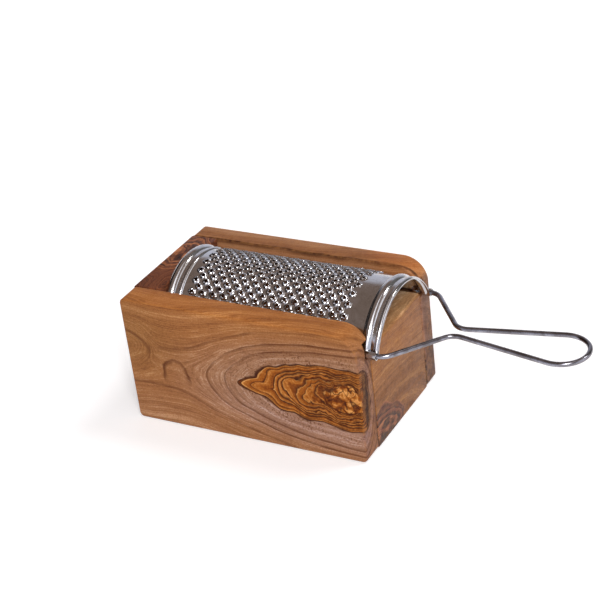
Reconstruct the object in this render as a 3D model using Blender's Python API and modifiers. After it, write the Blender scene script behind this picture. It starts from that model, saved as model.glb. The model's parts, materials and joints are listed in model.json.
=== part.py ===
# Box cheese grater: a wooden catch box and a wire-framed grater that slides out of it.
# Frame: origin at the centre of the box's underside, +X towards the handle, +Y to the
# far wall, +Z up. Lengths are in metres.

import math

import bmesh
import bpy
from mathutils import Vector

OBJECT_NAME = "cheese_grater"

# Wooden box
BOX_LENGTH = 0.150
BOX_HEIGHT = 0.080
INNER_WIDTH = 0.0654
NEAR_WALL_THICKNESS = 0.0161
FAR_WALL_THICKNESS = 0.0135
LEFT_BLOCK_THICKNESS = 0.0178
RIGHT_BLOCK_THICKNESS = 0.0175
FLOOR_THICKNESS = 0.0080
GLUE_GAP = 0.0003
WALL_CORNER_RADIUS = 0.0145
WALL_FOOT_RADIUS = 0.0030
BLOCK_CORNER_RADIUS = 0.0015
EDGE_ROUNDING = 0.0008

# Runner groove in each wall, measured down from the box's top to the groove's floor
GROOVE_DROP = 0.01935
SLIDE_CLEARANCE = 0.0003
GROOVE_SIDE_CLEARANCE = 0.0005

# Wire frame
WIRE_DIAMETER = 0.0029
WIRE_START = 0.0060
LEG_LEAD = 0.0028
LEG_BEND_RADIUS = 0.0055
NECK_REACH = 0.0302
NECK_HALF_GAP = 0.0033
NECK_BEND_RADIUS = 0.0050
LOOP_REACH = 0.0908
LOOP_RADIUS = 0.0150

# Grating sheet
SHEET_THICKNESS = 0.0006
SHEET_OVERHANG = 0.0059
STOP_GAP = 0.0004
ARCH_RISE = 0.0239
ARCH_CLEARANCE = 0.0009
HEM_CLEARANCE = 0.0003
HEM_SIDE_CLEARANCE = 0.00135
LARGE_BEAD_WIDTH = 0.0056
LARGE_BEAD_HEIGHT = 0.0016
SMALL_BEAD_WIDTH = 0.0026
SMALL_BEAD_HEIGHT = 0.0009
BEAD_SPACING = 0.0021
END_LIP = 0.0004
TOOTH_PITCH = 0.00695
TOOTH_ROW_STEP = 0.0036
TOOTH_HEIGHT = 0.0010
TOOTH_FLANK = 0.0018
LEFT_TOOTH_MARGIN = 0.0028
RIGHT_TOOTH_MARGIN = 0.0090

# Counts and angles
CURL_SWEEP = math.radians(290)
CURL_SEGMENTS = 8
PLAIN_ROWS = 3
LARGE_BEAD_SEGMENTS = 4
SMALL_BEAD_SEGMENTS = 3
CORNER_SEGMENTS = 8
BEND_SEGMENTS = 6
LOOP_SEGMENTS = 26
BEVEL_SEGMENTS = 2
BEVEL_ANGLE = math.radians(40)
SHARP_ANGLE = math.radians(30)
FLAT_ANGLE = math.radians(0.5)

# Modelling allowances
CUT_OVERRUN = 0.002
WELD_DISTANCE = 0.00001

# Places in the box, along X, Y and Z
box_width = NEAR_WALL_THICKNESS + INNER_WIDTH + FAR_WALL_THICKNESS
left_end = -BOX_LENGTH / 2
right_end = BOX_LENGTH / 2
near_inner = -box_width / 2 + NEAR_WALL_THICKNESS
far_inner = near_inner + INNER_WIDTH
inner_centre = (near_inner + far_inner) / 2
left_block_face = left_end + LEFT_BLOCK_THICKNESS
right_block_face = right_end - RIGHT_BLOCK_THICKNESS
groove_floor = BOX_HEIGHT - GROOVE_DROP

# The hem is the sheet curled round the wire, which rides on the groove's floor
wire_radius = WIRE_DIAMETER / 2
curl_radius = wire_radius + HEM_CLEARANCE + SHEET_THICKNESS / 2
hem_radius = curl_radius + SHEET_THICKNESS / 2
wire_height = groove_floor + SLIDE_CLEARANCE + hem_radius
hem_half_spacing = INNER_WIDTH / 2 + HEM_SIDE_CLEARANCE + hem_radius

# The arch is the circle that touches both curls and reaches the crown
crown_rise = ARCH_RISE - SHEET_THICKNESS / 2 + curl_radius
arch_centre_drop = (hem_half_spacing ** 2 - crown_rise ** 2) / (2 * crown_rise)
arch_centre = wire_height - arch_centre_drop
arch_radius = crown_rise + arch_centre_drop - curl_radius
arch_half_angle = math.atan2(hem_half_spacing, arch_centre_drop)
arch_rows = round(2 * arch_half_angle * arch_radius / TOOTH_ROW_STEP)

sheet_start = left_block_face + STOP_GAP
sheet_end = right_end + SHEET_OVERHANG


def new_collection(name):
    collection = bpy.data.collections.new(name)
    bpy.context.scene.collection.children.link(collection)
    return collection


def new_material(name, colour, roughness, metallic):
    material = bpy.data.materials.new(name)
    material.use_nodes = True
    shader = material.node_tree.nodes["Principled BSDF"]
    shader.inputs["Base Color"].default_value = (*colour, 1)
    shader.inputs["Roughness"].default_value = roughness
    shader.inputs["Metallic"].default_value = metallic
    return material


def add_object(name, data, collection, material=None):
    piece = bpy.data.objects.new(name, data)
    collection.objects.link(piece)
    if material:
        data.materials.append(material)
    return piece


def shade_smooth(mesh):
    mesh.shade_smooth()
    mesh.set_sharp_from_angle(angle=SHARP_ANGLE)


def mesh_from_curve(name, curve, collection, material, place=Vector(), turn=(0, 0, 0)):
    source = add_object(name + "_curve", curve, collection)
    source.location = place
    source.rotation_euler = turn
    bpy.context.view_layer.update()
    evaluated = source.evaluated_get(bpy.context.evaluated_depsgraph_get())
    mesh = bpy.data.meshes.new_from_object(evaluated)
    shape = bmesh.new()
    shape.from_mesh(mesh)
    bmesh.ops.remove_doubles(shape, verts=shape.verts, dist=WELD_DISTANCE)
    shape.to_mesh(mesh)
    shape.free()
    mesh.name = name
    piece = add_object(name, mesh, collection, material)
    piece.matrix_world = source.matrix_world
    bpy.data.objects.remove(source)
    shade_smooth(mesh)
    return piece


def box_mesh(name, low, high):
    shape = bmesh.new()
    bmesh.ops.create_cube(shape, size=1)
    size = Vector(high) - Vector(low)
    bmesh.ops.scale(shape, vec=size, verts=shape.verts)
    bmesh.ops.translate(shape, vec=(Vector(low) + Vector(high)) / 2, verts=shape.verts)
    mesh = bpy.data.meshes.new(name)
    shape.to_mesh(mesh)
    shape.free()
    return mesh


def rounded_rectangle(x_low, x_high, z_low, z_high, radii):
    """Points of a rectangle whose corners, from low left and anticlockwise, are arcs."""
    corners = ((x_low, z_low, 1, 1), (x_high, z_low, -1, 1), (x_high, z_high, -1, -1), (x_low, z_high, 1, -1))
    points = []
    for index, (x, z, inward_x, inward_z) in enumerate(corners):
        radius = radii[index]
        if radius == 0:
            points.append((x, z))
            continue
        start = math.pi + index * math.pi / 2
        for step in range(CORNER_SEGMENTS + 1):
            angle = start + step / CORNER_SEGMENTS * math.pi / 2
            arc_x = x + radius * (inward_x + math.cos(angle))
            arc_z = z + radius * (inward_z + math.sin(angle))
            points.append((arc_x, arc_z))
    return points


def board(name, outline, y_low, y_high, collection, material):
    """A board with its outline in the XZ plane, between two heights along Y."""
    curve = bpy.data.curves.new(name, "CURVE")
    curve.dimensions = "2D"
    curve.fill_mode = "BOTH"
    curve.extrude = (y_high - y_low) / 2
    spline = curve.splines.new("POLY")
    spline.points.add(len(outline) - 1)
    for point, (x, z) in zip(spline.points, outline):
        point.co = (x, z, 0, 1)
    spline.use_cyclic_u = True
    place = Vector((0, (y_low + y_high) / 2, 0))
    return mesh_from_curve(name, curve, collection, material, place, (math.pi / 2, 0, 0))


def wall(name, y_low, y_high, inner_face, collection, cutters, material):
    """A side wall with its long edges rounded and the runner groove cut in its inner face."""
    radii = (WALL_FOOT_RADIUS, WALL_FOOT_RADIUS, WALL_CORNER_RADIUS, WALL_FOOT_RADIUS)
    outline = rounded_rectangle(left_end, right_end, 0, BOX_HEIGHT, radii)
    piece = board(name, outline, y_low, y_high, collection, material)
    bevel = piece.modifiers.new("edge_rounding", "BEVEL")
    bevel.width = EDGE_ROUNDING
    bevel.segments = BEVEL_SEGMENTS
    bevel.limit_method = "ANGLE"
    bevel.angle_limit = BEVEL_ANGLE

    outward = math.copysign(1, inner_face - inner_centre)
    hem_reach = hem_half_spacing + hem_radius + GROOVE_SIDE_CLEARANCE
    bead_reach = arch_radius + SHEET_THICKNESS / 2 + LARGE_BEAD_HEIGHT
    bead_entry = math.sqrt(max(bead_reach ** 2 - (INNER_WIDTH / 2) ** 2, 0))
    groove_top = max(arch_centre + bead_entry, wire_height + hem_radius) + GROOVE_SIDE_CLEARANCE
    side_a = inner_centre + outward * hem_reach
    side_b = inner_face - outward * CUT_OVERRUN
    low = (left_block_face, min(side_a, side_b), groove_floor)
    high = (right_end + CUT_OVERRUN, max(side_a, side_b), groove_top)
    cutter = add_object(name + "_groove", box_mesh(name + "_groove", low, high), cutters)
    cutter.hide_render = True
    cutter.display_type = "WIRE"
    cut = piece.modifiers.new("runner_groove", "BOOLEAN")
    cut.operation = "DIFFERENCE"
    cut.object = cutter
    return piece


def wooden_box(collection, cutters):
    """Two side walls with two end blocks and a floor board glued between them."""
    near_side = -box_width / 2
    far_side = box_width / 2
    wall_wood = new_material("wall_wood", (0.40, 0.20, 0.09), 0.45, 0)
    dark_wood = new_material("dark_block_wood", (0.17, 0.07, 0.04), 0.45, 0)
    pale_wood = new_material("pale_block_wood", (0.36, 0.18, 0.08), 0.45, 0)
    wall("near_wall", near_side, near_inner, near_inner, collection, cutters, wall_wood)
    wall("far_wall", far_inner, far_side, far_inner, collection, cutters, wall_wood.copy())

    side_low = near_inner + GLUE_GAP
    side_high = far_inner - GLUE_GAP
    radii = (BLOCK_CORNER_RADIUS, 0, 0, BLOCK_CORNER_RADIUS)
    outline = rounded_rectangle(left_end, left_block_face, 0, BOX_HEIGHT, radii)
    board("left_end_block", outline, side_low, side_high, collection, dark_wood)

    arch_reach = arch_radius - SHEET_THICKNESS / 2 - ARCH_CLEARANCE
    block_top = arch_centre + math.sqrt(arch_reach ** 2 - (INNER_WIDTH / 2) ** 2)
    radii = (0, BLOCK_CORNER_RADIUS, BLOCK_CORNER_RADIUS, 0)
    outline = rounded_rectangle(right_block_face, right_end, 0, block_top, radii)
    board("right_end_block", outline, side_low, side_high, collection, pale_wood)

    low = (left_block_face + GLUE_GAP, side_low, 0)
    high = (right_block_face - GLUE_GAP, side_high, FLOOR_THICKNESS)
    add_object("floor_board", box_mesh("floor_board", low, high), collection, pale_wood.copy())


def bead_stations(start, width, height, segments):
    """Places along X over one pressed bead, each with the height that the bead has there."""
    shares = [step / segments for step in range(segments + 1)]
    return [(start + share * width, height * math.sin(math.pi * share)) for share in shares]


def sheet_stations():
    """Places along X where the sheet's section is drawn, and the first and last tooth column."""
    half_pitch = TOOTH_PITCH / 2
    bead_pair = LARGE_BEAD_WIDTH + BEAD_SPACING + SMALL_BEAD_WIDTH
    small_bead_left = sheet_start + LARGE_BEAD_WIDTH + BEAD_SPACING
    large_bead_right = sheet_end - END_LIP - bead_pair
    small_bead_right = large_bead_right + LARGE_BEAD_WIDTH + BEAD_SPACING
    first_column = sheet_start + bead_pair + LEFT_TOOTH_MARGIN
    columns = int((large_bead_right - RIGHT_TOOTH_MARGIN - first_column) / half_pitch)

    stations = bead_stations(sheet_start, LARGE_BEAD_WIDTH, LARGE_BEAD_HEIGHT, LARGE_BEAD_SEGMENTS)
    stations += bead_stations(small_bead_left, SMALL_BEAD_WIDTH, SMALL_BEAD_HEIGHT, SMALL_BEAD_SEGMENTS)
    first = len(stations)
    stations += [(first_column + column * half_pitch, 0) for column in range(columns + 1)]
    last = len(stations) - 1
    stations += bead_stations(large_bead_right, LARGE_BEAD_WIDTH, LARGE_BEAD_HEIGHT, LARGE_BEAD_SEGMENTS)
    stations += bead_stations(small_bead_right, SMALL_BEAD_WIDTH, SMALL_BEAD_HEIGHT, SMALL_BEAD_SEGMENTS)
    stations.append((sheet_end, 0))
    return stations, first, last


def sheet_point(row, bead_height):
    """A point of the sheet's section: the near curl, the arch, then the far curl."""
    arch_row = row - CURL_SEGMENTS
    if 0 <= arch_row <= arch_rows:
        angle = -arch_half_angle + 2 * arch_half_angle * arch_row / arch_rows
        faded = 0 if arch_row in (0, arch_rows) else bead_height
        radius = arch_radius + faded
        return inner_centre + radius * math.sin(angle), arch_centre + radius * math.cos(angle)
    side = -1 if arch_row < 0 else 1
    step = -arch_row if arch_row < 0 else arch_row - arch_rows
    angle = 3 * math.pi / 2 - arch_half_angle + step / CURL_SEGMENTS * CURL_SWEEP
    y = hem_half_spacing + curl_radius * math.cos(angle)
    return inner_centre + side * y, wire_height + curl_radius * math.sin(angle)


def punch_teeth(shape, places, first, last):
    """Turn the grid between two columns into a lattice of diamonds, each drawn up to a hole."""
    first_row = CURL_SEGMENTS + PLAIN_ROWS
    last_row = CURL_SEGMENTS + arch_rows - PLAIN_ROWS
    centres = set()
    for row in range(first_row, last_row + 1):
        offset = 1 + (row - first_row) % 2
        centres.update((column, row) for column in range(first + offset, last, 2))
    parity = (first + 1 + first_row) % 2
    for face in list(shape.faces):
        if any(places[vert] in centres for vert in face.verts):
            sides = [vert for vert in face.verts if sum(places[vert]) % 2 != parity]
            bmesh.utils.face_split(face, sides[0], sides[1])
    middles = [vert for vert in shape.verts if places[vert] in centres]
    for vert in middles:
        del places[vert]
    bmesh.ops.dissolve_verts(shape, verts=middles)

    diamonds = []
    for face in shape.faces:
        spots = [places[vert] for vert in face.verts]
        middle = (sum(spot[0] for spot in spots) / len(spots), sum(spot[1] for spot in spots) / len(spots))
        if middle in centres:
            diamonds.append(face)
    bmesh.ops.inset_individual(shape, faces=diamonds, thickness=TOOTH_FLANK, depth=TOOTH_HEIGHT)
    bmesh.ops.delete(shape, geom=diamonds, context="FACES")


def grating_sheet(collection, material):
    """One sheet bent to an arch, with pressed beads, punched teeth and a hem along each side."""
    stations, first, last = sheet_stations()
    rows = arch_rows + 2 * CURL_SEGMENTS
    columns = len(stations) - 1
    shape = bmesh.new()
    bmesh.ops.create_grid(shape, x_segments=columns, y_segments=rows, size=1)
    places = {}
    for vert in shape.verts:
        column = round((vert.co.x + 1) / 2 * columns)
        row = round((vert.co.y + 1) / 2 * rows)
        places[vert] = (column, row)
    for vert, (column, row) in places.items():
        x, bead_height = stations[column]
        y, z = sheet_point(row, bead_height)
        vert.co = (x, y, z)
    punch_teeth(shape, places, first, last)
    bmesh.ops.dissolve_limit(shape, angle_limit=FLAT_ANGLE, verts=shape.verts, edges=shape.edges)
    mesh = bpy.data.meshes.new("grating_sheet")
    shape.to_mesh(mesh)
    shape.free()
    shade_smooth(mesh)
    piece = add_object("grating_sheet", mesh, collection, material)
    shell = piece.modifiers.new("sheet_thickness", "SOLIDIFY")
    shell.thickness = SHEET_THICKNESS
    shell.offset = 0
    return piece


def bend(before, corner, after, radius):
    """Points of the arc that rounds a corner between two straight runs of the wire."""
    towards_before = (before - corner).normalized()
    towards_after = (after - corner).normalized()
    half_angle = towards_before.angle(towards_after) / 2
    bisector = (towards_before + towards_after).normalized()
    centre = corner + bisector * (radius / math.sin(half_angle))
    run = radius / math.tan(half_angle)
    start = (corner + towards_before * run - centre).normalized()
    end = (corner + towards_after * run - centre).normalized()
    return [centre + radius * start.slerp(end, step / BEND_SEGMENTS) for step in range(BEND_SEGMENTS + 1)]


def handle_side():
    """One half of the wire, from its end inside the hem to the start of the loop's arc."""
    leg_corner = Vector((sheet_end + LEG_LEAD, hem_half_spacing, 0))
    neck = Vector((sheet_end + NECK_REACH, NECK_HALF_GAP, 0))
    loop_centre = Vector((sheet_end + LOOP_REACH, 0, 0))
    reach = loop_centre - neck
    lean = math.asin(LOOP_RADIUS / reach.length) + math.atan2(reach.y, reach.x)
    touch = loop_centre + LOOP_RADIUS * Vector((-math.sin(lean), math.cos(lean), 0))
    start = Vector((sheet_start + WIRE_START, hem_half_spacing, 0))
    points = [start]
    points += bend(start, leg_corner, neck, LEG_BEND_RADIUS)
    points += bend(leg_corner, neck, touch, NECK_BEND_RADIUS)
    return points, loop_centre, math.pi / 2 + lean


def handle_wire(collection, material):
    """One wire: up one hem, in to the neck, round the loop and back down the other hem."""
    far_half, loop_centre, start_angle = handle_side()
    loop = []
    for step in range(LOOP_SEGMENTS + 1):
        angle = start_angle * (1 - 2 * step / LOOP_SEGMENTS)
        loop.append(loop_centre + LOOP_RADIUS * Vector((math.cos(angle), math.sin(angle), 0)))
    near_half = [Vector((point.x, -point.y, 0)) for point in reversed(far_half)]
    path = far_half + loop + near_half

    curve = bpy.data.curves.new("handle_wire", "CURVE")
    curve.dimensions = "3D"
    curve.bevel_depth = wire_radius
    curve.bevel_resolution = 2
    curve.use_fill_caps = True
    spline = curve.splines.new("POLY")
    spline.points.add(len(path) - 1)
    for point, place in zip(spline.points, path):
        point.co = (place.x, place.y, place.z, 1)
    place = Vector((0, inner_centre, wire_height))
    return mesh_from_curve("handle_wire", curve, collection, material, place)


def sliding_grater(collection):
    """The sheet and its wire frame, carried by an empty on the slide's axis."""
    sheet_steel = new_material("sheet_steel", (0.45, 0.44, 0.43), 0.28, 1)
    wire_steel = new_material("wire_steel", (0.38, 0.38, 0.39), 0.22, 1)
    carrier = bpy.data.objects.new("grater_slide", None)
    carrier.location = (sheet_start, inner_centre, wire_height)
    collection.objects.link(carrier)
    bpy.context.view_layer.update()
    for piece in (grating_sheet(collection, sheet_steel), handle_wire(collection, wire_steel)):
        piece.parent = carrier
        piece.matrix_parent_inverse = carrier.matrix_world.inverted()


def main():
    for old in list(bpy.data.objects):
        bpy.data.objects.remove(old)
    parts = new_collection(OBJECT_NAME)
    cutters = new_collection(OBJECT_NAME + "_cutters")
    wooden_box(parts, cutters)
    sliding_grater(parts)


main()
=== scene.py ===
import json
import math
import random

import bmesh
import bpy
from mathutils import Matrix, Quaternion, Vector

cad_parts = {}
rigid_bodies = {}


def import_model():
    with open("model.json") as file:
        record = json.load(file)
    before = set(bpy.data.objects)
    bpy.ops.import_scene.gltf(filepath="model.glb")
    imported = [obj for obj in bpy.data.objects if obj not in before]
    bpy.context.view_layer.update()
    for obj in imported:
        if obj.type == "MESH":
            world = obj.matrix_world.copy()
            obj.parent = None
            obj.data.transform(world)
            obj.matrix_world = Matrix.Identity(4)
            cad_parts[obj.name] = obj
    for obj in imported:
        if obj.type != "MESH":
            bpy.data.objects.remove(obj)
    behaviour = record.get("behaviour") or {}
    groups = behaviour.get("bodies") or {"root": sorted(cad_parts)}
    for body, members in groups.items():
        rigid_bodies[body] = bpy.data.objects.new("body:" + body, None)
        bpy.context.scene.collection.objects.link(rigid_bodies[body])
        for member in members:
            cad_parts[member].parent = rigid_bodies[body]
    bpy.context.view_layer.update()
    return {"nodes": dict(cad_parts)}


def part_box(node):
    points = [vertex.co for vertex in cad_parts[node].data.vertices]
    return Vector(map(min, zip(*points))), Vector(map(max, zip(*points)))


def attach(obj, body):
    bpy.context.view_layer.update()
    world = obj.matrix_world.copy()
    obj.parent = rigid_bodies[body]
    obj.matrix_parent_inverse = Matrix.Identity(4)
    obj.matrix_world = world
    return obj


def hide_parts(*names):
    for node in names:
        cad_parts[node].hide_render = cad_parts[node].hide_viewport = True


for spare in list(bpy.data.objects):
    bpy.data.objects.remove(spare)

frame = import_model()
print("Frame loaded:", len(frame["nodes"]), "nodes")

scene = bpy.context.scene
mm = 0.001


# Small helpers for meshes

def looseObject(name, data):
    thing = bpy.data.objects.new(name, data)
    scene.collection.objects.link(thing)
    return thing


def newPiece(name, mesh, body, node, slotName, *finishes):
    mesh.materials.clear()
    for material in finishes:
        mesh.materials.append(material)
    piece = looseObject(name, mesh)
    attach(piece, body)
    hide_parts(node)


def meshFrom(name, shape):
    bmesh.ops.recalc_face_normals(shape, faces=shape.faces)
    mesh = bpy.data.meshes.new(name)
    shape.to_mesh(mesh)
    shape.free()
    return mesh


def smoothed(mesh, sharpDegrees):
    mesh.shade_smooth()
    mesh.set_sharp_from_angle(angle=math.radians(sharpDegrees))
    return mesh


def appliedMesh(source, name):
    # the mesh that an object's modifiers make, with the object itself taken away
    bpy.context.view_layer.update()
    evaluated = source.evaluated_get(bpy.context.evaluated_depsgraph_get())
    mesh = bpy.data.meshes.new_from_object(evaluated)
    mesh.name = name
    bpy.data.objects.remove(source)
    return mesh


# Small helpers for shader nodes

def colour(red, green, blue):
    # screen colour from 0 to 255, turned into the linear colour that shaders use
    parts = []
    for part in (red, green, blue):
        share = part / 255
        parts.append(share / 12.92 if share <= 0.04045 else ((share + 0.055) / 1.055) ** 2.4)
    return (*parts, 1)


def plug(socket, value):
    if isinstance(value, bpy.types.NodeSocket):
        socket.id_data.links.new(value, socket)
    else:
        socket.default_value = value


def newNode(kind, inputs, **settings):
    # a node beside the nodes that feed it, with its inputs filled by name or by number
    tree = next(value.id_data for value in inputs.values() if isinstance(value, bpy.types.NodeSocket))
    node = tree.nodes.new("ShaderNode" + kind)
    for label, value in settings.items():
        setattr(node, label, value)
    for label, value in inputs.items():
        plug(node.inputs[label], value)
    return node.outputs


def maths(operation, *values, clamp=False):
    return newNode("Math", dict(enumerate(values)), operation=operation, use_clamp=clamp)[0]


def times(first, second):
    return maths("MULTIPLY", first, second)


def plus(first, second):
    return maths("ADD", first, second)


def minus(first, second):
    return maths("SUBTRACT", first, second)


def mixture(*parts):
    # the sum of some values, each with its own share
    total = None
    for value, share in parts:
        part = times(value, share)
        total = part if total is None else plus(total, part)
    return total


def vectorMaths(operation, *values):
    outputs = newNode("VectorMath", dict(enumerate(values)), operation=operation)
    return outputs["Value" if operation in ("LENGTH", "DOT_PRODUCT") else "Vector"]


def scaled(vector, factors):
    return vectorMaths("MULTIPLY", vector, factors)


def split(vector):
    return newNode("SeparateXYZ", {0: vector})


def joined(**parts):
    return newNode("CombineXYZ", parts)["Vector"]


def noise(where, scale, detail=2, roughness=0.5, distortion=0, output="Fac"):
    inputs = {"Vector": where, "Scale": scale, "Detail": detail, "Roughness": roughness,
              "Distortion": distortion}
    return newNode("TexNoise", inputs)[output]


def lineNoise(where, detail=2, roughness=0.5):
    # noise that changes along one number only
    inputs = {"W": where, "Scale": 1, "Detail": detail, "Roughness": roughness}
    return newNode("TexNoise", inputs, noise_dimensions="1D")["Fac"]


def chanceOf(number):
    return newNode("TexWhiteNoise", {"W": number}, noise_dimensions="1D")["Value"]


def wander(where, scale, detail):
    # noise along all three axes, about zero
    return vectorMaths("SUBTRACT", noise(where, scale, detail, output="Color"), (0.5, 0.5, 0.5))


def stretch(value, low, high, newLow=0, newHigh=1, smooth=True):
    inputs = {"Value": value, "From Min": low, "From Max": high, "To Min": newLow, "To Max": newHigh}
    way = "SMOOTHSTEP" if smooth else "LINEAR"
    return newNode("MapRange", inputs, interpolation_type=way)["Result"]


def ramp(value, stops):
    node = value.id_data.nodes.new("ShaderNodeValToRGB")
    plug(node.inputs["Fac"], value)
    elements = node.color_ramp.elements
    while len(elements) < len(stops):
        elements.new(0.5)
    for element, (position, tint) in zip(elements, stops):
        element.position = position
        element.color = tint
    return node.outputs["Color"]


def blendColour(amount, first, second, way="MIX"):
    return newNode("Mix", {0: amount, 6: first, 7: second}, data_type="RGBA", blend_type=way)[2]


def tinted(amount, base, tint):
    return blendColour(amount, base, blendColour(1, base, tint, "MULTIPLY"))


def blendValue(amount, first, second):
    return plus(first, times(amount, minus(second, first)))


def newGroup(name, **takes):
    # an effect with named inputs and outputs, built once and placed in several materials
    tree = bpy.data.node_groups.new(name, "ShaderNodeTree")
    for label, value in takes.items():
        kind = "NodeSocketVector" if isinstance(value, tuple) else "NodeSocketFloat"
        tree.interface.new_socket(name=label, in_out="INPUT", socket_type=kind).default_value = value
    return tree.nodes.new("NodeGroupInput").outputs


def endGroup(**gives):
    tree = next(iter(gives.values())).id_data
    for label in gives:
        tree.interface.new_socket(name=label, in_out="OUTPUT", socket_type="NodeSocketFloat")
    ends = tree.nodes.new("NodeGroupOutput").inputs
    for label, value in gives.items():
        plug(ends[label], value)
    return tree


def shiftedBySeed(takes, axis, step):
    # every piece takes its own stretch of a pattern
    shift = joined(**{axis: times(takes["Seed"], step)})
    return vectorMaths("ADD", takes["Position"], shift)


def place(group, **values):
    # put an effect in a material, with its own values
    return newNode("Group", values, node_tree=group)


def newMaterial(name):
    material = bpy.data.materials.new(name)
    material.use_nodes = True
    nodes = material.node_tree.nodes
    position = nodes.new("ShaderNodeTexCoord").outputs["Object"]
    return material, nodes["Principled BSDF"].inputs, scaled(position, (1 / mm, 1 / mm, 1 / mm))


def addBump(shader, height, depth, strength):
    bump = newNode("Bump", {"Strength": strength, "Distance": depth, "Height": height})
    plug(shader["Normal"], bump["Normal"])


# Effects shared by the woods

def makeWoodFibre():
    # fine streaks, pores and broad patches along the grain, which runs along X of Position
    takes = newGroup("woodFibre", Position=(0, 0, 0), Seed=0)
    shifted = shiftedBySeed(takes, "X", 37)
    long = scaled(shifted, (0.05, 1, 1))
    streak = mixture((noise(long, 0.55, 3, 0.6), 0.55), (noise(long, 2.4, 3, 0.65), 0.45))
    pores = noise(scaled(shifted, (0.4, 4.5, 4.5)), 1, 2, 0.6)
    patches = noise(scaled(shifted, (0.35, 1, 1)), 0.06, 3, 0.55)
    speckle = noise(scaled(shifted, (0.7, 1, 1)), 1.5, 2, 0.6)
    return endGroup(
        Streak=stretch(streak, 0.30, 0.70, smooth=False),
        Pores=stretch(pores, 0.56, 0.70),
        Patches=stretch(patches, 0.25, 0.75, smooth=False),
        Speckle=stretch(speckle, 0.3, 0.7, smooth=False))


def makeGrowthRings():
    # streaks, tones and thin dark lines along the contours of a ring field
    takes = newGroup("growthRings", Position=(0, 0, 0), Field=0, Spacing=1.5, Seed=0)
    count = plus(maths("DIVIDE", takes["Field"], takes["Spacing"]), takes["Seed"])
    flowing = vectorMaths("ADD", joined(X=takes["Field"]), scaled(takes["Position"], (0.05, 0.05, 0.05)))
    broad = lineNoise(times(count, 0.45), 2, 0.55)
    tone = mixture((broad, 0.6), (noise(flowing, 0.8, 3, 0.6), 0.4))
    # a ring ends in a line with a strength of its own, and the next ring starts in what is left of it
    inRing = maths("FRACT", count)
    late = maths("POWER", inRing, 5)
    early = stretch(inRing, 0, 0.08, 1, 0)
    number = maths("FLOOR", count)
    strength = stretch(chanceOf(number), 0.35, 1)
    strengthBefore = stretch(chanceOf(minus(number, 1)), 0.35, 1)
    line = maths("MAXIMUM", times(late, strength), times(early, strengthBefore))
    return endGroup(
        Tone=stretch(tone, 0.28, 0.72, smooth=False),
        Streak=stretch(noise(flowing, 2.6, 3, 0.7), 0.32, 0.68, smooth=False),
        Line=line)


def makeRingField():
    # rings round a knot: beyond Reach, the grain runs straight past it. The grain is along X of Position
    takes = newGroup("ringField", Position=(0, 0, 0), Centre=(0, 0, 0), Stretch=(1, 1, 1), Reach=40, Start=0)
    offset = vectorMaths("SUBTRACT", takes["Position"], takes["Centre"])
    parts = split(vectorMaths("DIVIDE", offset, takes["Stretch"]))
    along = maths("SMOOTH_MIN", maths("ABSOLUTE", parts["X"]), takes["Reach"], 10)
    held = joined(X=along, Y=parts["Y"], Z=parts["Z"])
    distance = vectorMaths("LENGTH", held)
    growth = vectorMaths("LENGTH", vectorMaths("DIVIDE", held, takes["Stretch"]))
    return endGroup(
        Field=plus(distance, takes["Start"]),
        Slope=maths("DIVIDE", growth, maths("MAXIMUM", distance, 0.5)))


def makeKnotDistance():
    # distance from a knot, where 1 is the knot's own outline, and how fast it grows in each millimetre
    takes = newGroup("knotDistance", Position=(0, 0, 0), Centre=(0, 0, 0), Size=(1, 1, 1), Bluntness=2)
    offset = vectorMaths("SUBTRACT", takes["Position"], takes["Centre"])
    shares = vectorMaths("ABSOLUTE", vectorMaths("DIVIDE", offset, takes["Size"]))
    parts = split(shares)
    powers = [maths("POWER", parts[axis], takes["Bluntness"]) for axis in "XYZ"]
    total = plus(plus(powers[0], powers[1]), powers[2])
    distance = maths("POWER", total, maths("DIVIDE", 1, takes["Bluntness"]))
    growth = vectorMaths("LENGTH", vectorMaths("DIVIDE", shares, takes["Size"]))
    return endGroup(
        Distance=distance,
        Slope=maths("DIVIDE", growth, maths("MAXIMUM", distance, 0.05)))


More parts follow.
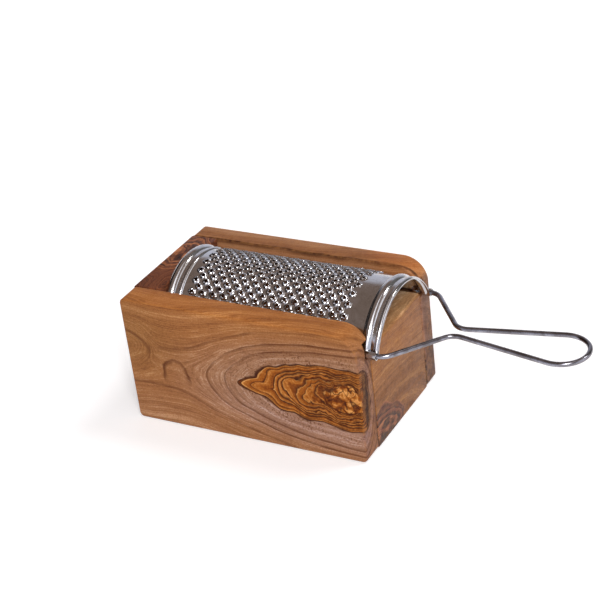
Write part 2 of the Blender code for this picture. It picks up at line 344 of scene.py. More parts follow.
def makeBurl():
    # a burl: nested wavy layers, each pale inside its thin dark line, round a blotchy heart
    takes = newGroup("burl", Position=(0, 0, 0), Distance=1, Slope=0.05, Lines=10, WavesMm=5,
                     Heart=0.4, Seed=0)
    shifted = shiftedBySeed(takes, "Y", 23)
    broadWave = minus(noise(shifted, 0.11, 0), 0.5)
    smallWave = minus(noise(shifted, 0.30, 1), 0.5)
    # the outline is calm and the middle wild
    wildness = stretch(takes["Distance"], 0.2, 1, 1, 0, smooth=False)
    smallShare = plus(times(wildness, 0.60), 0.09)
    wave = plus(broadWave, times(smallWave, smallShare))
    gain = plus(times(wildness, 1.1), 0.5)
    wave = times(times(wave, takes["WavesMm"]), gain)
    reach = plus(takes["Distance"], times(wave, takes["Slope"]))

    count = times(reach, takes["Lines"])
    unevenness = lineNoise(times(count, 0.6), 1)
    uneven = plus(count, times(unevenness, 1.6))
    inLayer = maths("FRACT", uneven)
    toLine = maths("MINIMUM", inLayer, minus(1, inLayer))
    lineMm = maths("DIVIDE", toLine, times(takes["Lines"], takes["Slope"]))
    chance = chanceOf(plus(maths("ROUND", uneven), takes["Seed"]))
    strength = stretch(chance, 0.1, 0.8, 0.7, 1)
    lineWidth = stretch(noise(shifted, 0.22, 2), 0.3, 0.7, 0.55, 1.30)
    line = times(stretch(lineMm, 0, lineWidth, 1, 0), strength)
    fine = noise(shifted, 0.9, 3, 0.6)
    bands = stretch(lineNoise(times(uneven, 2.6), 2, 0.6), 0.3, 0.7, smooth=False)
    layerTone = plus(mixture((inLayer, 0.50), (fine, 0.38), (bands, 0.22)), 0.02)

    # the heart has no layers, only pale and dark blotches with thin veins
    heart = stretch(reach, takes["Heart"], minus(takes["Heart"], 0.08))
    cloud = stretch(noise(shifted, 0.19, 2, 0.5, 0.4), 0.34, 0.66)
    heartTone = mixture((cloud, 0.58), (fine, 0.58))
    toVein = maths("ABSOLUTE", minus(noise(shifted, 0.15, 1, 0.5, 0.5), 0.47))
    vein = stretch(toVein, 0.004, 0.030, 0.9, 0)
    toHeart = maths("ABSOLUTE", minus(reach, takes["Heart"]))
    blotch = stretch(noise(shifted, 0.17, 3, 0.55, 0.4), 0.44, 0.56)
    blotch = times(blotch, stretch(toHeart, 0, 0.09, 1, 0))

    edgeMm = maths("DIVIDE", minus(reach, 1), takes["Slope"])
    edgeWidth = stretch(noise(shifted, 0.09, 1), 0.42, 0.66, 0.65, 1.60)
    line = times(line, stretch(edgeMm, -1.6, -0.7, 1, 0))
    # dark pores crowd in the plain wood just outside
    crowd = times(stretch(noise(shifted, 0.13, 2), 0.36, 0.56), stretch(edgeMm, 0, 14, 1, 0))
    pore = stretch(noise(shifted, 0.80, 1), 0.53, 0.66)
    return endGroup(
        Mask=stretch(edgeMm, -0.2, 0.3, 1, 0),
        Edge=stretch(maths("ABSOLUTE", edgeMm), 0.15, edgeWidth, 1, 0),
        Line=blendValue(heart, line, vein),
        Tone=blendValue(heart, layerTone, heartTone),
        Blotch=blotch,
        Specks=times(crowd, pore))


def makeHandWear():
    # rubbed edges and faint handling marks, from the mesh's own corners
    takes = newGroup("handWear", Position=(0, 0, 0), Seed=0)
    shifted = shiftedBySeed(takes, "Z", 11)
    geometry = takes["Position"].id_data.nodes.new("ShaderNodeNewGeometry")
    edge = stretch(geometry.outputs["Pointiness"], 0.505, 0.54)
    broken = stretch(noise(shifted, 0.35, 3, 0.6), 0.35, 0.65)
    return endGroup(
        Edges=times(edge, broken),
        Marks=stretch(noise(shifted, 0.09, 4, 0.6, 0.5), 0.45, 0.7))


woodFibre = makeWoodFibre()
growthRings = makeGrowthRings()
ringField = makeRingField()
knotDistance = makeKnotDistance()
burlFigure = makeBurl()
handWear = makeHandWear()
print("Wood effects made")


# Woods: every wall and block has its own cut, its own knots and its own colours

woodLook = {
    "swayRun": (0.4, 1, 1),       # rings sway slowly along the grain
    "swayScale": 0.045,           # scales are in waves to a millimetre, or nearly
    "trembleScale": 0.13,
    "saddle": 4,                  # mm over which the rings round two knots merge
    "knotFade": (-1, 3),          # mm from the saddle over which the first knot's dark rings come in
    "lineOutside": 0.5,           # shares of a dark line's width over which it fades
    "lineInside": 1.5,
    "breakScale": 0.045,
    "breakRange": (0.30, 0.62),
    "faintest": 0.45,
    "lobeBluntness": 1.6,
    "lobeBlend": 0.03,
    "lobeFade": 0.02,
    "burlStreak": 0.1,
    "blotchShare": 0.7,
    "poreShare": 0.22,            # how far the dark line colour shows in pores and handling marks
    "markShare": 0.10,
    "edgeShare": 0.30,
    "streakRoughness": 0.22,
    "markRoughness": 0.10,
    "streakRelief": 0.7,          # against 1 for the pores
    "reliefDepth": 0.06 * mm,
    "reliefStrength": 0.5,
}
grainOrders = {"X": (0, 1, 2), "Y": (1, 0, 2)}


def turned(position, grainAxis):
    # the wood's own coordinates, with the grain along the first one
    parts = split(position)
    return joined(**{axis: parts[source] for axis, source in zip("XYZ", grainOrders[grainAxis])})


def ringsRoundKnots(grain, cut):
    # rings run round every knot, and between knots they meet in a saddle
    field = None
    firstKnot = 1
    for knot in cut["knotsMm"]:
        centre = [knot["centre"][axis] for axis in grainOrders[cut["grainAxis"]]]
        here = place(ringField, Position=grain, Centre=centre, Stretch=knot["stretch"],
                     Reach=knot["reach"], Start=knot["start"])
        if field is None:
            field, slope = here["Field"], here["Slope"]
        else:
            nearer = maths("LESS_THAN", here["Field"], field)
            slope = blendValue(nearer, slope, here["Slope"])
            firstKnot = stretch(minus(here["Field"], field), *woodLook["knotFade"])
            field = maths("SMOOTH_MIN", field, here["Field"], woodLook["saddle"])
    return field, slope, firstKnot


def darkLine(offMm, line, shown, breaks):
    # sharp outside and soft inside, and fainter here and there
    outer = stretch(offMm, 0, line["width"] * woodLook["lineOutside"], 1, 0)
    inner = stretch(offMm, -line["width"] * woodLook["lineInside"], 0)
    mark = times(times(outer, inner), line["strength"])
    return times(times(mark, shown), breaks)


def withBurl(wood, cut, burl, seed, position, grain, streak):
    knot = place(knotDistance, Position=position, Centre=burl["centre"], Size=burl["size"],
                 Bluntness=burl["bluntness"])
    distance, slope = knot["Distance"], knot["Slope"]
    for centre, size, core in burl["lobes"]:
        lobe = place(knotDistance, Position=position, Centre=centre, Size=size,
                     Bluntness=woodLook["lobeBluntness"])
        reach = plus(times(lobe["Distance"], 1 - core), core)
        nearer = stretch(minus(distance, reach), -woodLook["lobeFade"], woodLook["lobeFade"])
        slope = blendValue(nearer, slope, times(lobe["Slope"], 1 - core))
        distance = maths("SMOOTH_MIN", distance, reach, woodLook["lobeBlend"])
    figure = place(burlFigure, Position=scaled(grain, burl["run"]), Distance=distance, Slope=slope,
                   Lines=burl["lines"], WavesMm=burl["wavesMm"], Heart=burl["heart"], Seed=seed)

    inside = ramp(plus(figure["Tone"], times(streak, woodLook["burlStreak"])), burl["tones"])
    inside = blendColour(times(figure["Blotch"], woodLook["blotchShare"]), inside, burl["lineColour"])
    inside = blendColour(figure["Line"], inside, burl["lineColour"])
    # under its skin it takes the tint of heartwood
    middle = burl["centre"][1]
    depth = stretch(split(position)["Y"], middle + burl["skin"], middle + 2 * burl["skin"])
    inside = tinted(depth, inside, burl["heartTint"])
    wood = blendColour(times(figure["Specks"], burl["specks"]), wood, cut["lineColour"])
    wood = blendColour(times(figure["Mask"], burl["strength"]), wood, inside)
    return blendColour(times(figure["Edge"], burl["outline"]), wood, burl["lineColour"])


def oliveWood(name, cut):
    material, shader, position = newMaterial(name)
    grain = turned(position, cut["grainAxis"])
    fibre = place(woodFibre, Position=grain, Seed=cut["seed"])
    warp = wander(scaled(grain, woodLook["swayRun"]), woodLook["swayScale"], 2)
    swayed = vectorMaths("ADD", position, scaled(warp, cut["swayMm"]))
    field, slope, firstKnot = ringsRoundKnots(turned(swayed, cut["grainAxis"]), cut)
    rings = place(growthRings, Position=position, Field=field, Spacing=cut["ringSpacingMm"],
                  Seed=cut["seed"])
    tone = mixture(
        (rings["Tone"], cut["ringShare"]), (fibre["Streak"], cut["streakShare"]),
        (rings["Streak"], cut["figureShare"]), (fibre["Patches"], cut["patchShare"]),
        (fibre["Speckle"], cut["speckleShare"]))
    wood = ramp(tone, cut["tones"])

    lines = times(rings["Line"], cut["lineStrength"])
    breaks = stretch(noise(position, woodLook["breakScale"]), *woodLook["breakRange"],
                     woodLook["faintest"], 1)
    for ring in cut["darkRingsMm"]:
        offMm = maths("DIVIDE", minus(field, ring["at"]), slope)
        lines = maths("MAXIMUM", lines, darkLine(offMm, ring, firstKnot, breaks))
    tremble = wander(position, woodLook["trembleScale"], 1)
    height = split(position)["Z"]
    for scar in cut["scarsMm"]:
        shaken = vectorMaths("ADD", swayed, scaled(tremble, scar["tremble"]))
        knot = place(knotDistance, Position=shaken, Centre=scar["centre"], Size=scar["size"])
        offMm = maths("DIVIDE", minus(knot["Distance"], 1), knot["Slope"])
        low, fade = scar["openBelow"], scar["fade"]
        shown = stretch(height, low - fade, low + fade)
        lines = maths("MAXIMUM", lines, darkLine(offMm, scar, shown, breaks))
    wood = blendColour(lines, wood, cut["lineColour"])

    for patch in cut["halosMm"]:
        where = position if patch["crisp"] else swayed
        knot = place(knotDistance, Position=where, Centre=patch["centre"], Size=patch["size"])
        amount = stretch(knot["Distance"], patch["full"], patch["gone"], patch["strength"], 0)
        wood = tinted(amount, wood, patch["tint"])
    for number, burl in enumerate(cut["burlsMm"]):
        wood = withBurl(wood, cut, burl, cut["seed"] + number, position, grain, fibre["Streak"])

    wear = place(handWear, Position=position, Seed=cut["seed"])
    for mask, share, tint in ((fibre["Pores"], "poreShare", "lineColour"),
                              (wear["Marks"], "markShare", "lineColour"),
                              (wear["Edges"], "edgeShare", "edgeColour")):
        wood = blendColour(times(mask, woodLook[share]), wood, cut[tint])
    plug(shader["Base Color"], wood)
    sheen = mixture((fibre["Streak"], woodLook["streakRoughness"]),
                    (wear["Marks"], woodLook["markRoughness"]))
    plug(shader["Roughness"], plus(sheen, cut["roughness"]))
    shader["Specular IOR Level"].default_value = cut["gloss"]
    relief = minus(times(fibre["Streak"], woodLook["streakRelief"]), fibre["Pores"])
    addBump(shader, relief, woodLook["reliefDepth"], woodLook["reliefStrength"])
    return material


def tones(*stops):
    # a colour ramp, from a place and a screen colour at each stop
    return [(position, colour(*parts)) for position, *parts in stops]


def halo(centre, size, tint, full=0.4, gone=1, strength=0.9, crisp=False):
    # a patch that tints the wood, full and gone at shares of its size. A crisp one has no sway
    return {"centre": centre, "size": size, "tint": (*tint, 1), "full": full, "gone": gone,
            "strength": strength, "crisp": crisp}


nearLow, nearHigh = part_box("near_wall")
halfLength = nearHigh.x / mm      # from the box's middle to its ends
nearFace = nearLow.y / mm
wallTop = nearHigh.z / mm

endGrainPlace = {"centre": (halfLength + 2, 0, 40), "size": (4, 200, 200), "full": 0.55, "gone": 0.95,
                 "crisp": True}
# painted shade: darkens the inner faces of the walls and the floor board nearly to black inside the box, so
# that the holes through the teeth look dark
paintedBoxShade = halo((0, 1.3, 10), (400, 36, 54), (0.15, 0.13, 0.15), 0.95, 1, 0.95, crisp=True)

plainCut = {
    "grainAxis": "X",
    "swayMm": (6, 3, 6),
    "ringSpacingMm": 2.2,
    "figureShare": 0.38,
    "streakShare": 0.18,
    "patchShare": 0.12,
    "speckleShare": 0.22,
    "darkRingsMm": [],
    "scarsMm": [],
    "halosMm": [],
    "burlsMm": [],
    "edgeColour": colour(190, 130, 74),
    "roughness": 0.36,
    "gloss": 0.22,
}
nearWallCut = {
    **plainCut,
    "seed": 3,
    "knotsMm": [
        {"centre": (halfLength, nearFace, 38.5), "stretch": (2.8, 0.5, 1), "reach": 39, "start": 0},
        {"centre": (-halfLength, nearFace, 50), "stretch": (1.4, 0.6, 1), "reach": 22, "start": 27}],
    "ringSpacingMm": 1.9,
    "ringShare": 0.32,
    "tones": tones((0.12, 86, 50, 31), (0.32, 119, 71, 40), (0.50, 142, 89, 48), (0.68, 161, 105, 60),
                   (0.90, 191, 139, 90)),
    "lineStrength": 0.10,
    "lineColour": colour(84, 38, 14),
    "darkRingsMm": [
        {"at": 34.6, "width": 1.3, "strength": 0.92},
        {"at": 30.5, "width": 1.2, "strength": 0.85},
        {"at": 41, "width": 1.4, "strength": 0.60}],
    "scarsMm": [
        {"centre": (-44, nearFace, 33.5), "size": (8.8, 14, 11), "width": 2.2, "strength": 0.95,
         "openBelow": 31, "fade": 5, "tremble": (5, 0, 4)},
        {"centre": (-halfLength - 1, nearFace, 47.5), "size": (16.5, 14, 12.5), "width": 2.1,
         "strength": 1, "openBelow": 46, "fade": 6, "tremble": (4, 0, 3)}],
    "halosMm": [
        halo((halfLength, nearFace, 39), (126, 18, 37), (1.00, 1.32, 2.35), 0.56, 1.14, 0.95),
        halo((-halfLength, nearFace, 54), (52, 18, 36), (0.84, 0.90, 0.90), 0.2),
        halo((0, nearFace, -14), (200, 60, 52), (1.06, 1.22, 1.68), 0.45, 1.1, 0.8),
        halo((0, nearFace + 8, wallTop + 4), (200, 40, 8), (1.18, 1.08, 0.86), 0.45, 1.1),
        halo(tint=(0.73, 0.69, 0.78), **endGrainPlace),
        paintedBoxShade],
    "burlsMm": [{
        "centre": (halfLength + 2, nearFace, 39.8),
        "size": (67, 10.5, 19.5),
        "bluntness": 2.5,
        "lobes": [((25, nearFace, 38), (26.5, 8, 7.5), 0.80)],
        "lines": 13,
        "wavesMm": 7,
        "heart": 0.44,
        "run": (1, 1, 1),
        "tones": tones((0.10, 46, 16, 5), (0.30, 78, 32, 5), (0.48, 120, 57, 9), (0.66, 160, 90, 27),
                       (0.90, 218, 152, 82)),
        "lineColour": colour(50, 14, 3),
        "strength": 1,
        "outline": 0.9,
        "specks": 0.8,
        "skin": 2.2,
        "heartTint": (0.36, 0.42, 0.95, 1)}],
    "gloss": 0.09,
}
farWallCut = {
    **plainCut,
    "seed": 8,
    "lineStrength": 0.24,
    "knotsMm": [
        {"centre": (10, 90, 190), "stretch": (9, 1, 1), "reach": 90, "start": 0},
        {"centre": (-150, -40, -70), "stretch": (6, 1.2, 1), "reach": 90, "start": 0}],
    "lineColour": colour(52, 20, 5),
    "tones": tones((0.12, 102, 59, 29), (0.32, 121, 73, 38), (0.50, 134, 84, 47), (0.68, 147, 96, 57),
                   (0.90, 170, 120, 78)),
    "ringSpacingMm": 2.4,
    "ringShare": 0.50,
    "scarsMm": [
        {"centre": (10, 24, 71), "size": (300, 14, 14), "width": 2, "strength": 1,
         "openBelow": 70, "fade": 4, "tremble": (0, 1, 2)}],
    "halosMm": [
        # painted light: lightens and cools the far wall's inner face, which the box keeps in shade
        halo((0, 28, 40), (200, 12, 60), (1.62, 1.66, 2), 0.55),
        halo((halfLength - 12, 44, wallTop), (28, 14, 12), (1.42, 1.18, 0.82), gone=1.1),
        halo((halfLength, 44, 12), (8, 13, 27), (0.45, 0.44, 0.62)),
        halo(tint=(0.43, 0.42, 0.62), **endGrainPlace),
        paintedBoxShade],
}
floorBoardCut = {**farWallCut, "seed": 31, "ringSpacingMm": 4, "halosMm": [paintedBoxShade], "scarsMm": [],
                 "roughness": 0.48}

# the burls in the end grain of both blocks are round, calm and dark all through
blockBurl = {"bluntness": 2, "lobes": [], "run": (0.42, 1, 1), "outline": 0, "skin": 60,
             "heartTint": (1, 1, 1, 1)}
leftBlockCut = {
    **plainCut,
    "seed": 14,
    "grainAxis": "Y",
    "swayMm": (12, 12, 8),
    "knotsMm": [
        {"centre": (-70, 12, 70), "stretch": (1.6, 0.6, 1), "reach": 30, "start": 0},
        {"centre": (-58, -22, 84), "stretch": (1.2, 0.6, 1), "reach": 30, "start": 4}],
    "ringShare": 0.60,
    "tones": tones((0.15, 17, 9, 7), (0.35, 43, 23, 15), (0.52, 68, 36, 22), (0.70, 91, 49, 30),
                   (0.92, 130, 75, 45)),
    "lineStrength": 0.7,
    "lineColour": colour(20, 12, 12),
    "burlsMm": [{
        **blockBurl,
        "centre": (-71, 14, 84),
        "size": (17, 23, 26),
        "lines": 5,
        "wavesMm": 14,
        "heart": 0.50,
        "tones": tones((0.22, 24, 14, 11), (0.44, 76, 43, 29), (0.62, 134, 79, 47), (0.90, 202, 130, 82)),
        "lineColour": colour(18, 11, 13),
        "strength": 0.95,
        "specks": 0}],
    "edgeColour": colour(120, 68, 42),
    "gloss": 0.18,
}
rightBlockCut = {
    **plainCut,
    "seed": 21,
    "grainAxis": "Y",
    "swayMm": (4, 7, 5),
    "knotsMm": [
        {"centre": (halfLength, -16, -6), "stretch": (2.2, 1, 1), "reach": 34, "start": 0},
        {"centre": (halfLength - 20, 60, 130), "stretch": (6, 1, 1), "reach": 60, "start": 0}],
    "ringShare": 0.48,
    "figureShare": 0.32,
    "tones": tones((0.14, 72, 40, 20), (0.36, 106, 64, 34), (0.55, 132, 84, 46), (0.75, 152, 102, 60),
                   (0.95, 184, 134, 86)),
    "lineStrength": 0.42,
    "lineColour": colour(76, 42, 28),
    "halosMm": [
        halo((halfLength, 0, 0), (200, 200, 46), (0.66, 0.58, 0.44), 0.5),
        halo((halfLength + 6, 0, 62), (24, 200, 30), (1.00, 0.90, 0.70)),
        # painted light: lightens and cools the block's top under the arch, against the arch's shade and the
        # orange light bounced in there
        halo((halfLength - 12, 0, 68), (62, 200, 6), (2.05, 3.2, 5.8), 0.6)],
    "burlsMm": [{
        **blockBurl,
        "centre": (halfLength + 1, -23, -3),
        "size": (14, 25, 27),
        "lines": 5,
        "wavesMm": 20,
        "heart": 0.62,
        "tones": tones((0.28, 28, 18, 20), (0.48, 56, 35, 30), (0.66, 108, 60, 46), (0.92, 164, 106, 74)),
        "lineColour": colour(38, 24, 26),
        "strength": 0.95,
        "specks": 0.3}],
}

nearWallWood = oliveWood("nearWallWood", nearWallCut)
farWallWood = oliveWood("farWallWood", farWallCut)
leftBlockWood = oliveWood("leftBlockWood", leftBlockCut)
rightBlockWood = oliveWood("rightBlockWood", rightBlockCut)
floorBoardWood = oliveWood("floorBoardWood", floorBoardCut)
print("Woods made")


# Steels

def makeHandledSteel():
    # rub marks, wipe smears and fine scratches of used stainless steel
    takes = newGroup("handledSteel", Position=(0, 0, 0), Along=(0.05, 1, 1), Seed=0)
    shifted = shiftedBySeed(takes, "X", 19)
    return endGroup(
        Scratches=noise(scaled(shifted, takes["Along"]), 5, 4, 0.7),
        Smears=noise(shifted, 0.11, 4, 0.6, 0.8),
        Grime=stretch(noise(shifted, 0.45, 4, 0.65), 0.52, 0.74))


handledSteel = makeHandledSteel()


def steel(name, finish):
    material, shader, position = newMaterial(name)
    used = place(handledSteel, Position=position, Along=finish["scratchRun"], Seed=finish["seed"])
    tint = blendColour(stretch(used["Smears"], 0.3, 0.7), finish["bright"], finish["dull"])
    tint = blendColour(times(used["Grime"], finish["grime"]), tint, finish["dirt"])
    plug(shader["Base Color"], tint)
    shader["Metallic"].default_value = 1
    rough = plus(finish["roughness"], times(used["Scratches"], finish["scratchRoughness"]))
    rough = plus(rough, times(used["Smears"], finish["smearRoughness"]))
    plug(shader["Roughness"], rough)
    addBump(shader, used["Scratches"], finish["scratchDepth"], finish["scratchStrength"])
    return material


sheetFinish = {
    "seed": 2,
    "scratchRun": (0.06, 1, 1),
    "bright": colour(204, 204, 208),
    "dull": colour(186, 183, 182),
    "dirt": colour(128, 118, 110),
    "grime": 0.25,
    "roughness": 0.05,
    "scratchRoughness": 0.14,
    "smearRoughness": 0.10,
    "scratchDepth": 0.008 * mm,
    "scratchStrength": 0.5,
}
wireFinish = {
    **sheetFinish,
    "seed": 5,
    # painted shade: darker than the sheet, so that the white floor mirrored in the wire comes out dim
    "bright": colour(160, 160, 170),
    "dull": colour(118, 114, 117),
    "dirt": colour(70, 62, 58),
    "grime": 0.45,
    "roughness": 0.06,
}
undersideFinish = {
    **sheetFinish,
    "seed": 7,
    "bright": colour(140, 132, 126),
    "dull": colour(106, 98, 92),
    "dirt": colour(50, 42, 38),
    "grime": 0.5,
    "roughness": 0.28,
}
burrFinish = {
    **sheetFinish,
    "seed": 9,
    # the blue tint of these colours paints a cool cast into the burrs' reflections
    "bright": colour(176, 186, 222),
    "dull": colour(152, 162, 196),
    "grime": 0.15,
    "roughness": 0.14,
    "scratchRoughness": 0.10,
    "smearRoughness": 0.06,
}
# painted shade: all the colours of the burrs' inner faces are near black, so that the holes through them
# look dark
paintedHoleShadeFinish = {
    **undersideFinish,
    "seed": 12,
    "bright": colour(52, 48, 46),
    "dull": colour(34, 31, 29),
    "dirt": colour(18, 16, 15),
    "roughness": 0.40,
}
sheetSteel = steel("sheetSteel", sheetFinish)
sheetUnderside = steel("sheetUnderside", undersideFinish)
burrSteel = steel("burrSteel", burrFinish)
paintedHoleShadeSteel = steel("paintedHoleShadeSteel", paintedHoleShadeFinish)
wireSteel = steel("wireSteel", wireFinish)
print("Steels made")


# Wooden box

boxShape = {
    "topCorner": 14.5 * mm,       # the big round at each wall's handle end
    "footCorner": 3 * mm,
    "blockCorner": 1.5 * mm,
    "arcSteps": 20,
    "wallEdge": 1.1 * mm,         # hand-sanded edges
    "blockEdge": 0.5 * mm,
    "edgeSteps": 4,
    "edgeAngle": math.radians(40),    # only corners sharper than this are sanded
    "glueLine": 0.08 * mm,
    "cutOverrun": 2 * mm,
    "sharpDegrees": 28,
}


def roundedOutline(low, high, radii):
    # corners from low left, anticlockwise
    corners = ((low.x, low.z, 1, 1), (high.x, low.z, -1, 1),
               (high.x, high.z, -1, -1), (low.x, high.z, 1, -1))
    points = []
    for index, (x, z, inX, inZ) in enumerate(corners):
        radius = radii[index]
        for step in range(boxShape["arcSteps"] + 1):
            angle = math.pi + (index + step / boxShape["arcSteps"]) * math.pi / 2
            points.append((x + radius * (inX + math.cos(angle)), z + radius * (inZ + math.sin(angle))))
            if radius == 0:
                break
    return points


def sandedBoard(name, low, high, radii, edge):
    shape = bmesh.new()
    near = [shape.verts.new((x, low.y, z)) for x, z in roundedOutline(low, high, radii)]
    far = bmesh.ops.extrude_face_region(shape, geom=[shape.faces.new(near)])
    moved = [part for part in far["geom"] if isinstance(part, bmesh.types.BMVert)]
    bmesh.ops.translate(shape, vec=(0, high.y - low.y, 0), verts=moved)
    board = looseObject(name + "Blank", meshFrom(name, shape))
    rounding = board.modifiers.new("sandedEdges", "BEVEL")
    rounding.width = edge
    rounding.segments = boxShape["edgeSteps"]
    rounding.limit_method = "ANGLE"
    rounding.angle_limit = boxShape["edgeAngle"]
    return board


def grooveCutter(node, wallLow, wallHigh, innerSide):
    # the groove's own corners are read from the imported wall
    innerFace, outerFace = (wallHigh.y, wallLow.y) if innerSide > 0 else (wallLow.y, wallHigh.y)
    inside = [vert.co for vert in frame["nodes"][node].data.vertices
              if min(abs(vert.co.y - innerFace), abs(vert.co.y - outerFace)) > boxShape["wallEdge"] * 2]
    backY = sum(point.y for point in inside) / len(inside)
    mouthY = innerFace + innerSide * boxShape["cutOverrun"]
    mouthX = wallHigh.x + boxShape["cutOverrun"]
    low = Vector((min(point.x for point in inside), min(backY, mouthY), min(point.z for point in inside)))
    high = Vector((mouthX, max(backY, mouthY), max(point.z for point in inside)))
    shape = bmesh.new()
    bmesh.ops.create_cube(shape, size=1)
    bmesh.ops.scale(shape, vec=high - low, verts=shape.verts)
    bmesh.ops.translate(shape, vec=(low + high) / 2, verts=shape.verts)
    print("Groove in", node, [round(value / mm, 2) for value in (*low, *high)])
    return looseObject(node + "Groove", meshFrom(node + "Groove", shape))


def boardPiece(name, board, node, slotName, material):
    mesh = smoothed(appliedMesh(board, name), boxShape["sharpDegrees"])
    newPiece(name, mesh, "box", node, slotName, material)


def wallPiece(name, node, innerSide, material):
    low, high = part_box(node)
    foot = boxShape["footCorner"]
    board = sandedBoard(name, low, high, (foot, foot, boxShape["topCorner"], foot), boxShape["wallEdge"])
    cutter = grooveCutter(node, low, high, innerSide)
    cut = board.modifiers.new("runnerGroove", "BOOLEAN")
    cut.operation = "DIFFERENCE"
    cut.object = cutter
    boardPiece(name, board, node, "wall_wood", material)
    bpy.data.objects.remove(cutter)


def blockPiece(name, node, radii, slotName, material):
    low, high = (corner.copy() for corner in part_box(node))
    low.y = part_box("near_wall")[1].y + boxShape["glueLine"]
    high.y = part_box("far_wall")[0].y - boxShape["glueLine"]
    board = sandedBoard(name, low, high, radii, boxShape["blockEdge"])
    boardPiece(name, board, node, slotName, material)


rounded = boxShape["blockCorner"]
wallPiece("nearWall", "near_wall", 1, nearWallWood)
wallPiece("farWall", "far_wall", -1, farWallWood)
blockPiece("leftEndBlock", "left_end_block", (rounded, 0, 0, rounded), "dark_wood", leftBlockWood)
blockPiece("rightEndBlock", "right_end_block", (0, rounded, rounded, 0), "pale_wood", rightBlockWood)
frame["nodes"]["floor_board"].data.materials.clear()
frame["nodes"]["floor_board"].data.materials.append(floorBoardWood)
print("Wooden box made")


# Grating sheet

sheetShape = {
    "thickness": 0.5 * mm,
    "cadThickness": 0.6 * mm,
    "archRows": 25,               # rows of tooth places round the arch
    "fineSteps": 6,               # mesh steps between neighbouring tooth columns or rows
    "curlSweep": math.radians(290),
    "curlSteps": 20,
    "hemGap": 0.3 * mm,           # between the wire and the curl round it
    "plainRows": 3,
    "toothPitch": 6.95 * mm,
    "leftToothMargin": 2.8 * mm,
    "rightToothMargin": 9 * mm,
    "marginSteps": 4,
    "largeBeadWidth": 5.6 * mm,
    "largeBeadHeight": 1.6 * mm,
    "largeBeadSteps": 16,
    "smallBeadWidth": 2.6 * mm,
    "smallBeadHeight": 0.9 * mm,
    "smallBeadSteps": 10,
    "beadFullness": 0.85,         # 1 gives a sine, and less a flatter top
    "beadSpacing": 2.1 * mm,
    "beadFade": 1.6 * mm,         # length over which a bead dies out above the hem
    "endLip": 0.4 * mm,
    "seed": 11,
    "sharpDegrees": 26,
}
toothShape = {
    "ringRadii": (2.38 * mm, 2.02 * mm, 1.62 * mm, 1.28 * mm),
    "ringHeights": (0.06 * mm, 0.32 * mm, 0.68 * mm, 0.98 * mm),
    "petals": 6,
    "fold": 0.20,                 # how star-shaped the foot of each burr is
    "foldRise": 1.2,              # how much of that goes into its height
    "tipRadius": 0.98 * mm,
    "notchRadius": 1.12 * mm,
    "tipHeight": 1.33 * mm,
    "notchHeight": 0.84 * mm,
    "tipPoint": 1.3,              # above 1, the tips are pointed
    "tipScatter": 0.20 * mm,
    "tipRange": (-1, 0.35),
    "leanRangeMm": (-0.10, 0.16),
    "thinning": 0.8,              # share of the thickness lost at the tips
    "twist": math.radians(16),
    "materialIndex": 2,
}

wireLow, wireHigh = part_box("handle_wire")
sheetLow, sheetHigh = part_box("grating_sheet")
wireRadius = (wireHigh.z - wireLow.z) / 2
wireHeight = (wireHigh.z + wireLow.z) / 2
archMiddle = (wireHigh.y + wireLow.y) / 2
hemHalfSpacing = (wireHigh.y - wireLow.y) / 2 - wireRadius
curlRadius = wireRadius + sheetShape["hemGap"] + sheetShape["cadThickness"] / 2
archTop = sheetHigh.z - sheetShape["cadThickness"] / 2 - sheetShape["largeBeadHeight"]
crownRise = archTop - wireHeight + curlRadius
archDrop = (hemHalfSpacing ** 2 - crownRise ** 2) / (2 * crownRise)
archCentre = wireHeight - archDrop
archRadius = crownRise + archDrop - curlRadius
archHalfAngle = math.atan2(hemHalfSpacing, archDrop)
rowAngle = 2 * archHalfAngle / sheetShape["archRows"]
print("Arch: centre z %.3f mm, radius %.3f mm, half angle %.2f deg" % (
    archCentre / mm, archRadius / mm, math.degrees(archHalfAngle)))


def archPoint(x, angle, lift):
    radius = archRadius + lift
    return Vector((x, archMiddle + radius * math.sin(angle), archCentre + radius * math.cos(angle)))


def curlPoint(x, side, share):
    angle = 3 * math.pi / 2 - archHalfAngle + share * sheetShape["curlSweep"]
    y = hemHalfSpacing + curlRadius * math.cos(angle)
    return Vector((x, archMiddle + side * y, wireHeight + curlRadius * math.sin(angle)))


def beadRun(start, bead):
    # places along X over one bead, each with the bead's height there
    width, height, steps = (sheetShape[bead + part] for part in ("Width", "Height", "Steps"))
    bulge = [math.sin(math.pi * (step / steps)) ** sheetShape["beadFullness"] for step in range(steps + 1)]
    return [(start + width * step / steps, height * rise) for step, rise in enumerate(bulge)]


def beadPair(start):
    smallStart = start + sheetShape["largeBeadWidth"] + sheetShape["beadSpacing"]
    return beadRun(start, "largeBead") + beadRun(smallStart, "smallBead")


def sheetStations():
    # places along X, each with the bead height there, and the first column of the tooth field
    s = sheetShape
    pairWidth = s["largeBeadWidth"] + s["beadSpacing"] + s["smallBeadWidth"]
    fine = s["toothPitch"] / 2 / s["fineSteps"]
    rightPair = sheetHigh.x - s["endLip"] - pairWidth
    fieldStart = sheetLow.x + pairWidth + s["leftToothMargin"]
    halfPitches = int((rightPair - s["rightToothMargin"] - fieldStart) / (s["toothPitch"] / 2))
    stations = beadPair(sheetLow.x) + [(fieldStart - s["leftToothMargin"] / 2, 0)]
    first = len(stations)
    stations += [(fieldStart + fine * step, 0) for step in range(halfPitches * s["fineSteps"] + 1)]
    fieldEnd = stations[-1][0]
    margin = rightPair - fieldEnd
    stations += [(fieldEnd + margin * (step / s["marginSteps"]), 0) for step in range(1, s["marginSteps"])]
    stations += beadPair(rightPair) + [(sheetHigh.x, 0)]
    return stations, first, halfPitches


